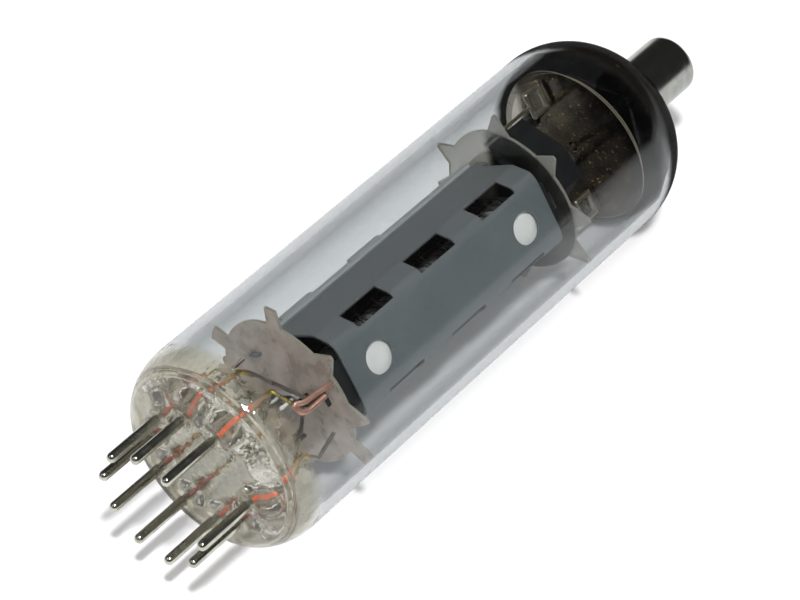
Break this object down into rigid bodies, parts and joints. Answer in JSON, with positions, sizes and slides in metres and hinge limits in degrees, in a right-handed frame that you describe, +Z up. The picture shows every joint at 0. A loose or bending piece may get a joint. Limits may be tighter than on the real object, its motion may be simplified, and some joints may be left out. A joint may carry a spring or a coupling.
{
  "type": "pentode tube",
  "caption": "Glass power pentode with pins at the foot and an anode cap on the dome; micas, slotted anode box, wound grids and getters inside. Lies on its side.",
  "frame": {"origin": "the middle of the bounding box seen from above, on the surface that the glass lies on", "axes": "+X along the tube from the pins to the top cap, +Z up, +Y to the left when looking along +X"},
  "size_m": [0.0792, 0.0212, 0.0212],
  "materials": {
    "bulb": "clear blown glass, silvered black inside the dome",
    "stem_glass": "clear pressed glass",
    "pin_metal": "dull nickel, tarnished",
    "seal_wire": "red oxide on coppered wire",
    "lead_metal": "drawn nickel",
    "cement": "dark cement",
    "cap_metal": "drawn nickel, dull",
    "copper": "bare copper",
    "mica": "grey layered mica sheet",
    "clear_mica": "clearer mica sheet",
    "smoked_mica": "mica sheet browned by the getter",
    "anode_metal": "blackened matt grey sheet",
    "bright_nickel": "bright nickel",
    "cathode_coat": "white oxide coat",
    "heater_coat": "white alumina",
    "copper_rods": "coppered rod",
    "gold_wire": "gilt wire",
    "grid_nickel": "nickel rod",
    "grid_wire": "fine dull wire",
    "black_metal": "blackened sheet",
    "getter_metal": "flashed nickel channel"
  },
  "bodies": {
    "root": {"bulb": "bulb", "stem_button": "stem_glass", "pin_1": "pin_metal", "pin_2": "pin_metal", "pin_3": "pin_metal", "pin_4": "pin_metal", "pin_5": "pin_metal", "pin_6": "pin_metal", "pin_7": "pin_metal", "pin_8": "pin_metal", "pin_9": "pin_metal", "seal_wire_1": "seal_wire", "seal_wire_2": "seal_wire", "seal_wire_3": "seal_wire", "seal_wire_4": "seal_wire", "seal_wire_5": "seal_wire", "seal_wire_6": "seal_wire", "seal_wire_7": "seal_wire", "seal_wire_8": "seal_wire", "seal_wire_9": "seal_wire", "inner_lead_1": "lead_metal", "inner_lead_2": "lead_metal", "inner_lead_3": "lead_metal", "inner_lead_4": "lead_metal", "inner_lead_5": "lead_metal", "inner_lead_6": "lead_metal", "inner_lead_7": "lead_metal", "inner_lead_8": "lead_metal", "inner_lead_9": "lead_metal", "cap_wire": "lead_metal", "anode_lead": "lead_metal", "cap_cement": "cement", "top_cap": "cap_metal", "copper_link": "copper", "lower_mica": "mica", "upper_mica": "clear_mica", "shield_mica": "smoked_mica", "ring_mica": "smoked_mica", "anode_front": "anode_metal", "anode_back": "anode_metal", "end_screen_front": "bright_nickel", "end_screen_back": "bright_nickel", "cathode_sleeve": "cathode_coat", "heater": "heater_coat", "control_grid_rods": "copper_rods", "control_grid_wire": "gold_wire", "screen_grid_rods": "grid_nickel", "suppressor_rods": "grid_nickel", "support_rods": "grid_nickel", "screen_grid_wire": "grid_wire", "suppressor_wire": "grid_wire", "top_shield": "black_metal", "getter_left": "getter_metal", "getter_right": "getter_metal"}
  },
  "joints": []
}
